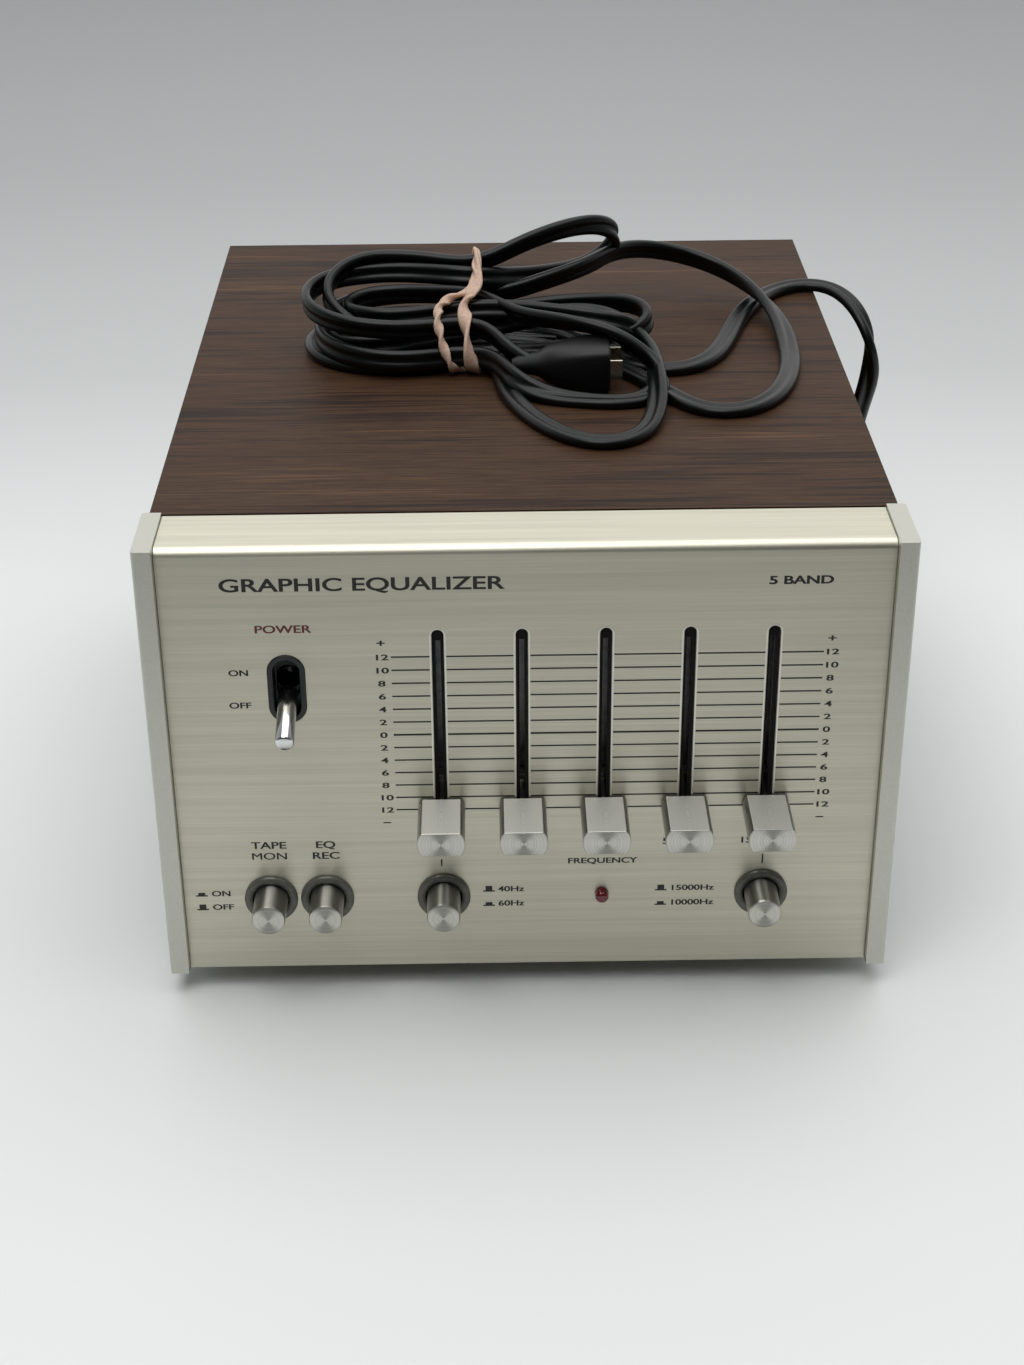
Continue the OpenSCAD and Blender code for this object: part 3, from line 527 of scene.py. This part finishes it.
def settle(line, pull, rounds=260):
    """Lays the lead down: its cores keep their length and their distance, push each other apart,
    rest on the cabinet and stay inside the band, while each point is drawn back to where it started."""
    count = len(line)
    x = cores(line).reshape(-1, 3)
    home = x.copy()
    hold = np.repeat(pull, 2)
    index = np.arange(2 * count).reshape(count, 2)
    step = np.linalg.norm(np.diff(line, axis=0), axis=1).mean()
    links = [(index[:, 0], index[:, 1], 2 * CORE, 1.0)]
    for side in (0, 1):
        links.append((index[:-1, side], index[1:, side], step, 0.9))
        links.append((index[:-1, side], index[1:, 1 - side], math.hypot(step, 2 * CORE), 0.5))
        for gap, stiff in ((2, 0.5), (3, 0.3), (5, 0.12)):
            links.append((index[:-gap, side], index[gap:, side], gap * step * 0.995, stiff))
    moving = (hold < 0.99)[:, None]
    station = np.repeat(np.arange(count), 2)
    plug = np.array([(plug_low.x, plug_low.y, top_z), (plug_high.x, plug_high.y, plug_high.z)])
    for turn in range(rounds):
        if turn % 8 == 0:
            near = np.linalg.norm(x[:, None] - x[None], axis=2) < WATCH
            one, two = np.nonzero(np.triu(near, 1))
            apart = np.abs(station[one] - station[two]) > 3
            one, two = one[apart], two[apart]
        move, hits = np.zeros_like(x), np.full(len(x), 1.0)
        for a, b, length, stiff in links + [(one, two, None, 1.0)]:
            gap = x[b] - x[a]
            size = np.maximum(np.linalg.norm(gap, axis=1), 1e-6)
            off = size - length if length else np.minimum(size - 2.04 * CORE, 0)
            push = gap * (0.5 * stiff * off / size)[:, None]
            for ends, way in ((a, push), (b, -push)):
                np.add.at(move, ends, way)
                np.add.at(hits, ends, (np.abs(off) > 1e-7) * stiff)
        x = x + moving * move / hits[:, None] * 1.3
        x = x + moving * (hold[:, None] * HOMING * (home - x))
        x[:, 2] -= moving[:, 0] * SINK
        over = (x[:, 0] < 0.105) & (x[:, 2] > 0.12)
        x[over & (moving[:, 0]), 2] = np.maximum(x[over & moving[:, 0], 2], top_z + CORE)
        tied = np.abs(x[:, 0] - band_x) < 6 * MM
        x[tied, 1] = np.clip(x[tied, 1], *band_y)
        roof = top_z + (12 + 15 * np.clip((x[tied, 1] + 2 * MM) / (34 * MM), 0, 1)) * MM - CORE
        x[tied, 2] = np.minimum(x[tied, 2], roof)
        inside = ((x > plug[0] - CORE) & (x < plug[1] + CORE)).all(1) & moving[:, 0] & (pull.repeat(2) < 0.9)
        if inside.any():
            p = x[inside]
            ways = np.column_stack([p[:, 1] - plug[0, 1] + CORE, plug[1, 1] + CORE - p[:, 1],
                                    plug[1, 2] + CORE - p[:, 2]])
            way = ways.argmin(1)
            p[way == 0, 1], p[way == 1, 1], p[way == 2, 2] = (
                plug[0, 1] - CORE, plug[1, 1] + CORE, plug[1, 2] + CORE)
            x[inside] = p
    return x.reshape(count, 2, 3)


def swept(line, wide, shape):
    """Points and faces of a tube whose section is shape, as (along wide, across it), closed at both ends."""
    ahead = unit(np.gradient(line, axis=0))
    wide = unit(wide - (wide * ahead).sum(1, keepdims=True) * ahead)
    over = np.cross(ahead, wide)
    shape = np.asarray(shape)
    if shape.ndim == 2:
        shape = np.broadcast_to(shape, (len(line), *shape.shape))
    rings = line[:, None] + shape[..., :1] * wide[:, None] + shape[..., 1:] * over[:, None]
    n, m = rings.shape[:2]
    faces = [(i * m + k, i * m + (k + 1) % m, (i + 1) * m + (k + 1) % m, (i + 1) * m + k)
             for i in range(n - 1) for k in range(m)]
    faces += [tuple(range(m)), tuple(range((n - 1) * m, n * m))]
    return rings.reshape(-1, 3), faces


def twin_section(count=28):
    """Two round cores side by side, joined by a thinner web: half height as a function of the width."""
    turn = np.linspace(0, 2 * math.pi, count, endpoint=False)
    across = 2 * CORE * np.cos(turn)
    core = np.sqrt(np.maximum(CORE ** 2 - (np.abs(across) - CORE) ** 2, 0))
    height = np.maximum(core, 0.62 * CORE * (np.abs(across) < CORE))
    return np.column_stack([across, np.sign(np.sin(turn)) * height])


def finer(values, times):
    """The rows of values with times as many steps, smoothly between."""
    old = np.arange(len(values))
    new = np.linspace(0, len(values) - 1, times * (len(values) - 1) + 1)
    i = np.clip(new.astype(int), 0, len(values) - 2)
    t = (new - i)[:, None]
    slope = np.gradient(values, axis=0)
    a, b, p, q = values[i], values[i + 1], slope[i], slope[i + 1]
    return (2 * t ** 3 - 3 * t ** 2 + 1) * a + (t ** 3 - 2 * t ** 2 + t) * p \
        + (3 * t ** 2 - 2 * t ** 3) * b + (t ** 3 - t ** 2) * q


def mains_lead():
    """The whole lead, as one flat twin tube from the gland to the plug. Returns the points of its cores."""
    points = np.vstack([p for p, _ in stretches])
    pull = np.concatenate([np.full(len(p), w) for p, w in stretches])
    line, pull = smoothed(points, pull)
    core = settle(line, pull)
    for _ in range(5):
        core[1:-1] = (core[:-2] + 2 * core[1:-1] + core[2:]) / 4
    core[..., 2] = np.maximum(core[..., 2], CORE + 0.1 * MM)
    lie = unit(core[:, 1] - core[:, 0])
    for _ in range(14):
        lie[1:-1] = (lie[:-2] + lie[1:-1] + lie[2:]) / 3
    line, wide = finer(core.mean(1), 3), finer(unit(lie), 3)
    points, faces = swept(line, wide, twin_section())
    lead = piece("mains_lead", points, faces, finish["vinyl"], angle=60)
    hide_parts("mains_cord", "cord_loop_right", "cord_loop_front", "cord_hank")
    return core.reshape(-1, 3)


def rounded_box(low, high, edge, coat, name):
    """A closed box between two corners, in millimetres, with rounded edges."""
    corner = [(x, y, z) for x in (low[0], high[0]) for y in (low[1], high[1]) for z in (low[2], high[2])]
    faces = [(0, 1, 3, 2), (4, 6, 7, 5), (0, 4, 5, 1), (2, 3, 7, 6), (0, 2, 6, 4), (1, 5, 7, 3)]
    made = piece(name, np.array(corner) * MM, faces, coat)
    bevel = made.modifiers.new("rounded edges", "BEVEL")
    bevel.width = edge * MM
    bevel.segments = 4
    bevel.harden_normals = True
    return made


def superellipse(wide, high, power, count=40):
    """A section of half width wide and half height high, squarer with a greater power."""
    turn = np.linspace(0, 2 * math.pi, count, endpoint=False)
    return np.column_stack([wide * np.sign(np.cos(turn)) * np.abs(np.cos(turn)) ** (2 / power),
                            high * np.sign(np.sin(turn)) * np.abs(np.sin(turn)) ** (2 / power)])


def plug():
    """The moulded grip: a strain relief, a waist, a flared body and a flat face. Its blades are apart."""
    stations = [(-2, 2.2, 1.6, 2), (0, 3.4, 2.6, 2), (6, 4.4, 3.6, 2.2), (9, 6.2, 5.4, 2.6),
                (13, 7.2, 6.4, 3), (18, 8.6, 7.2, 4), (24, 9, 7.5, 5), (27.4, 8.9, 7.4, 5),
                (28, 8.4, 6.9, 5)]
    middle_y, middle_z = plug_low.y / MM + 9, plug_low.z / MM + 7.5
    line = np.array([(plug_low.x / MM + s[0], middle_y, middle_z) for s in stations]) * MM
    shape = np.array([superellipse(s[1] * MM, s[2] * MM, s[3]) for s in stations])
    points, faces = swept(line, np.tile((0.0, 1.0, 0.0), (len(line), 1)), shape)
    made = piece("plug_grip", points, faces, finish["plug"], angle=40)
    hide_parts("mains_plug")
    for i, y in enumerate((2.65, 13.85)):
        low = (27.5, plug_low.y / MM + y, plug_low.z / MM + 4.3)
        high = (32, low[1] + 1.5, low[2] + 6.4)
        blade = rounded_box(low, high, 0.3, finish["brass"], f"plug_blade_{i + 1}")
        blade.parent = made
    return made


plug_piece = plug()
lead_core = mains_lead()


# ---------------------------------------------------------------- rubber band

def band_loop(name, core, bulge, turns, width):
    """A flat rubber strand, twisted along its length, drawn taut round the hank's cores. Its front leans
    bulge millimetres to the left."""
    centre = np.array([24 * MM, top_z + 12 * MM])
    angle = np.linspace(-0.5 * math.pi, 1.55 * math.pi, 150)
    forward = np.maximum(0, -np.cos(angle + 0.25)) ** 1.6
    x = band_x + (0.5 - bulge * forward - 1.5 * np.sin(angle)) * MM
    spread = np.linspace(0, 2 * math.pi, 72, endpoint=False)
    way = np.column_stack([np.cos(spread), np.sin(spread)])
    reach = np.empty(len(angle))
    for i, (a, at) in enumerate(zip(angle, x)):
        near = core[np.abs(core[:, 0] - at) < 4 * MM][:, 1:] - centre
        support = (near @ way.T).max(0) + CORE + 0.5 * MM
        facing = np.cos(a - spread)
        reach[i] = (support[facing > 0.05] / facing[facing > 0.05]).min()
    for _ in range(3):
        reach[1:-1] = (reach[:-2] + reach[1:-1] + reach[2:]) / 3
    y, z = centre[0] + reach * np.cos(angle), centre[1] + reach * np.sin(angle)
    line = np.column_stack([x, y, np.maximum(z, top_z + 0.4 * MM)])
    ahead = unit(np.gradient(line, axis=0))
    out = unit(np.column_stack([0 * x, np.cos(angle), np.sin(angle)]))
    out = unit(out - (out * ahead).sum(1, keepdims=True) * ahead)
    flat = np.cross(ahead, out)
    roll = turns * 2 * math.pi * np.sin(angle / 2 + 0.25 * math.pi) ** 2
    wide = np.cos(roll)[:, None] * flat + np.sin(roll)[:, None] * out
    points, faces = swept(line, wide, superellipse(width / 2 * MM, 0.8 * MM, 2.6, 16))
    return piece(name, points, faces, finish["band"], angle=60)


# ---------------------------------------------------------------- lettering and slot margins

def on_face(x, z, proud):
    """The row-frame place of a point on the panel, from millimetres above the cheeks' foot."""
    return (x * MM, face_y - proud * MM, foot_z + z * MM)


CAPITALS = 0.73                              # a capital's height, as a share of the type's size
INK = 0.02 * MM                              # half the ink's thickness
STRIKE = 0.12 * MM                           # how far the second strike stands to the right


def lettered(name, words, coat, stretch=1.3, weight=0.0):
    """Printed words as thin closed solids, each struck twice for a bolder line.
    Each is (text, x, middle z, cap height, alignment)."""
    work = bmesh.new()
    for text, x, z, height, align in words:
        curve = bpy.data.curves.new(name, "FONT")
        curve.body = text
        curve.align_x = align
        curve.size = height * MM / CAPITALS
        curve.extrude = INK
        curve.offset = weight * MM
        made = bpy.data.objects.new(name, curve)
        bpy.context.collection.objects.link(made)
        bpy.context.view_layer.update()
        mesh = bpy.data.meshes.new_from_object(made.evaluated_get(bpy.context.evaluated_depsgraph_get()))
        at = on_face(x, z - height / 2, 0.01)
        mesh.transform(Matrix(((stretch, 0, 0, at[0]), (0, 0, -1, at[1]), (0, 1, 0, at[2]), (0, 0, 0, 1))))
        for nudge in (0.0, STRIKE):
            mesh.transform(Matrix.Translation((nudge, 0.03 * nudge, 0)))
            work.from_mesh(mesh)
        bpy.data.objects.remove(made)
    mesh = bpy.data.meshes.new(name)
    work.to_mesh(mesh)
    work.free()
    made = bpy.data.objects.new(name, mesh)
    bpy.context.collection.objects.link(made)
    shaded(made, coat)
    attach(made, "case")
    return made


BOX_FACES = ((0, 1, 2, 3), (4, 5, 6, 7), (0, 1, 5, 4), (1, 2, 6, 5), (2, 3, 7, 6), (3, 0, 4, 7))


def printed_bars(name, bars, coat):
    """Printed rectangles, each (x0, x1, z0, z1), as thin closed solids."""
    points, faces = [], []
    for x0, x1, z0, z1 in bars:
        n = len(points)
        points += [on_face(x, z, proud) for proud in (-0.01, 0.03) for x, z in
                   ((x0, z0), (x1, z0), (x1, z1), (x0, z1))]
        faces += [tuple(n + k for k in f) for f in BOX_FACES]
    return piece(name, points, faces, coat)


slider_x = [middle(f"slider_knob_{i}").x / MM for i in range(1, 6)]
button_x = [middle(f"button_cap_{i}").x / MM for i in range(1, 5)]
scale_z = [53.9 + 4.1 * k for k in range(13)]
breaks = [-37.1] + [x + s for x in slider_x for s in (-2.3, 2.3)] + [81.5]
lines = [(breaks[k], breaks[k + 1], z - w, z + w) for k in range(0, 12, 2)
         for i, z in enumerate(scale_z) for w in [0.3 if i == 6 else 0.23]]
lines += [(slider_x[0] - 0.65, slider_x[0] - 0.2, 34.5, 36.9),
          (button_x[3] - 0.2, button_x[3] + 0.25, 34, 37.2)]
# The marks for a button that stands out and one that is pressed: a foot with a tall or a low block on it.
for x, z, block in ((-96.1, 26.2, 0.2), (-96.1, 21.4, 0.9), (-12.9, 26.5, 0.9), (-12.9, 21.5, 0.2),
                    (37.0, 26.1, 0.9), (37.0, 21.0, 0.2)):
    lines += [(x, x + 3.4, z - 1.1, z - 0.65), (x + 0.7, x + 2.7, z - 0.65, z + block)]
lines += [(x - 1.1, x + 1.1, 49.4, 49.8) for x in (-39.9, 83.4)]
printed_bars("scale_lines", lines, finish["ink"])
numbers = [str(abs(12 - 2 * k)) for k in range(12, -1, -1)]
figures = [(n, x, z, 1.8, "CENTER") for x in (-39.9, 83.6) for n, z in zip(numbers, scale_z)]
words = [("+", -39.8, 107.5, 2.4, "CENTER"), ("+", 83.5, 107.3, 2.4, "CENTER"),
         ("ON", -81.9, 98.8, 1.9, "LEFT"), ("OFF", -82.3, 88.6, 1.9, "LEFT"),
         ("TAPE", -74.1, 42.5, 2.4, "CENTER"), ("EQ", -57.9, 42.5, 2.4, "CENTER"),
         ("REC", -57.9, 38.8, 2.4, "CENTER"), ("ON", -91.6, 26.1, 1.9, "LEFT"),
         ("OFF", -91.6, 21.4, 1.9, "LEFT"), ("40Hz", -8.6, 26.4, 1.9, "LEFT"),
         ("60Hz", -8.6, 21.4, 1.9, "LEFT"), ("15000Hz", 41.2, 26.0, 1.9, "LEFT"),
         ("10000Hz", 41.2, 20.9, 1.9, "LEFT"), ("FREQUENCY", 21.5, 35.8, 1.9, "CENTER")]
words += [(f"{pitch}Hz", slider_x[i], 42.2, 2.1, "CENTER")
          for i, pitch in ((3, 5000), (4, 15000), (2, 1000), (1, 250), (0, 40))]
lettered("panel_lettering", words, finish["ink"], 1.35, 0.035)
lettered("panel_figures", figures, finish["ink"], 1.7, 0.035)
lettered("monitor_lettering", [("MON", -74.1, 38.8, 2.4, "CENTER")], finish["ink"], 1.35)
headings = [("GRAPHIC EQUALIZER", -82.9, 125.6, 4.0, "LEFT"), ("5 BAND", 82.9, 125.2, 2.5, "RIGHT")]
lettered("panel_heading", headings, finish["ink"], 1.45, 0.08)
lettered("power_lettering", [("POWER", -66.3, 112.2, 2.4, "CENTER")], finish["red_ink"], 1.35, 0.04)


def stadium(x, z0, z1, radius, count=16):
    """The outline of an upright slot."""
    turn = np.linspace(0, math.pi, count)
    top = [(x + radius * math.cos(t), z1 + radius * math.sin(t)) for t in turn]
    return top + [(x - radius * math.cos(t), z0 - radius * math.sin(t)) for t in turn]


def slot_margins():
    """The bright bevel round each slider's slot, as one piece."""
    points, faces = [], []
    low, high = scale_z[0] - 6.5, scale_z[-1] + 6.5
    for x in slider_x:
        rings = [(2.25, -0.01), (2.2, 0.035), (1.95, 0.05), (1.68, -0.1), (1.68, -0.4), (1.8, -0.4)]
        n, m = len(points), 32
        for radius, proud in rings:
            points += [on_face(a, b, proud) for a, b in stadium(x, low, high, radius)]
        faces += [(n + r * m + k, n + r * m + (k + 1) % m, n + (r + 1) % 6 * m + (k + 1) % m,
                   n + (r + 1) % 6 * m + k) for r in range(6) for k in range(m)]
    return piece("slot_bright_edges", points, faces, finish["bright"], angle=60)


slot_margins()


def felt_strips():
    """Two black felt strips behind each slot, which close on the stem."""
    points, faces = [], []
    back = face_y + 3.05 * MM
    for x in slider_x:
        for x0, x1 in ((x - 1.68, x - 0.7), (x + 0.7, x + 1.68)):
            n = len(points)
            points += [(a * MM, b, foot_z + c * MM) for b in (back, back + 0.5 * MM) for a, c in
                       ((x0, 46.5), (x1, 46.5), (x1, 110.5), (x0, 110.5))]
            faces += [tuple(n + k for k in f) for f in BOX_FACES]
    return piece("slot_felt_strips", points, faces, finish["screen"])


felt_strips()
hank_core = lead_core[(np.abs(lead_core[:, 0] - band_x) < 25 * MM) & (lead_core[:, 1] > -2 * MM)]
band_piece = band_loop("rubber_band_left_strand", hank_core, 13, 3.5, 3.2)
band_loop("rubber_band_right_strand", hank_core, 4.5, 1.5, 4.6).parent = band_piece
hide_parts("rubber_band")


# ---------------------------------------------------------------- stage, light and sizes

def stage():
    """A pale floor with painted shade that greys it with distance and darkens it before the front, a broad
    light overhead and a smaller one over the front.
    """
    made = bpy.data.meshes.new("floor")
    made.from_pydata([(-6, -3, 0), (6, -3, 0), (6, 14, 0), (-6, 14, 0)], [], [(0, 1, 2, 3)])
    floor = bpy.data.objects.new("floor", made)
    bpy.context.collection.objects.link(floor)
    paper, tree, shader = material("matt_paper", roughness=0.85)
    depth = add(tree, "SeparateXYZ", {0: placed(tree)}).outputs["Y"]
    # Painted shade: the floor's colour greys from y 0.15 m to 1.3 m, standing in for the light's falloff.
    far = add(tree, "MapRange", {"Value": depth, "From Min": 0.15, "From Max": 1.3}).outputs["Result"]
    pale = ramp(tree, far, [(0.0, "e0e2e1"), (0.2, "c4c7c6"), (0.5, "b6b9b8"), (1.0, "b6b9b8")])
    # Painted shade: the floor's colour darkens to 0.45 from y -0.28 m to -0.5 m, before the front.
    near = add(tree, "MapRange", {"Value": depth, "From Min": -0.5, "From Max": -0.28,
                                  "To Min": 0.45}).outputs["Result"]
    tone = add(tree, "VectorMath", {0: pale, "Scale": near}, operation="SCALE").outputs[0]
    tree.links.new(tone, shader.inputs["Base Color"])
    made.materials.append(paper)
    world = bpy.data.worlds.new("studio")
    bpy.context.scene.world = world
    world.use_nodes = True
    tree = world.node_tree
    tree.nodes.clear()
    way = add(tree, "SeparateXYZ", {0: add(tree, "TexCoord").outputs["Generated"]})
    ahead = add(tree, "MapRange", {"Value": way.outputs["Y"], "From Min": -1.0}).outputs["Result"]
    sky = ramp(tree, ahead, [(0.0, "1c1d1e"), (0.3, "5a5c5e"), (0.6, "b0b2b4"), (0.88, "ffffff")])
    light = add(tree, "Background", {"Color": sky, "Strength": 1.0})
    add(tree, "OutputWorld", {"Surface": light.outputs["Background"]})
    for name, at, size, power in (("overhead", (0.05, 0.05, 1.35), 1.5, 13),
                                  ("front", (-0.25, -0.7, 1.3), 0.8, 6)):
        lamp = bpy.data.lights.new(name, "AREA")
        lamp.size = size
        lamp.energy = power
        made = bpy.data.objects.new(name, lamp)
        made.location = at
        made.rotation_euler = (Vector((0, 0.05, 0.08)) - Vector(at)).to_track_quat("-Z", "Y").to_euler()
        bpy.context.collection.objects.link(made)
    bpy.context.scene.view_settings.view_transform = "Standard"


camera()
stage()
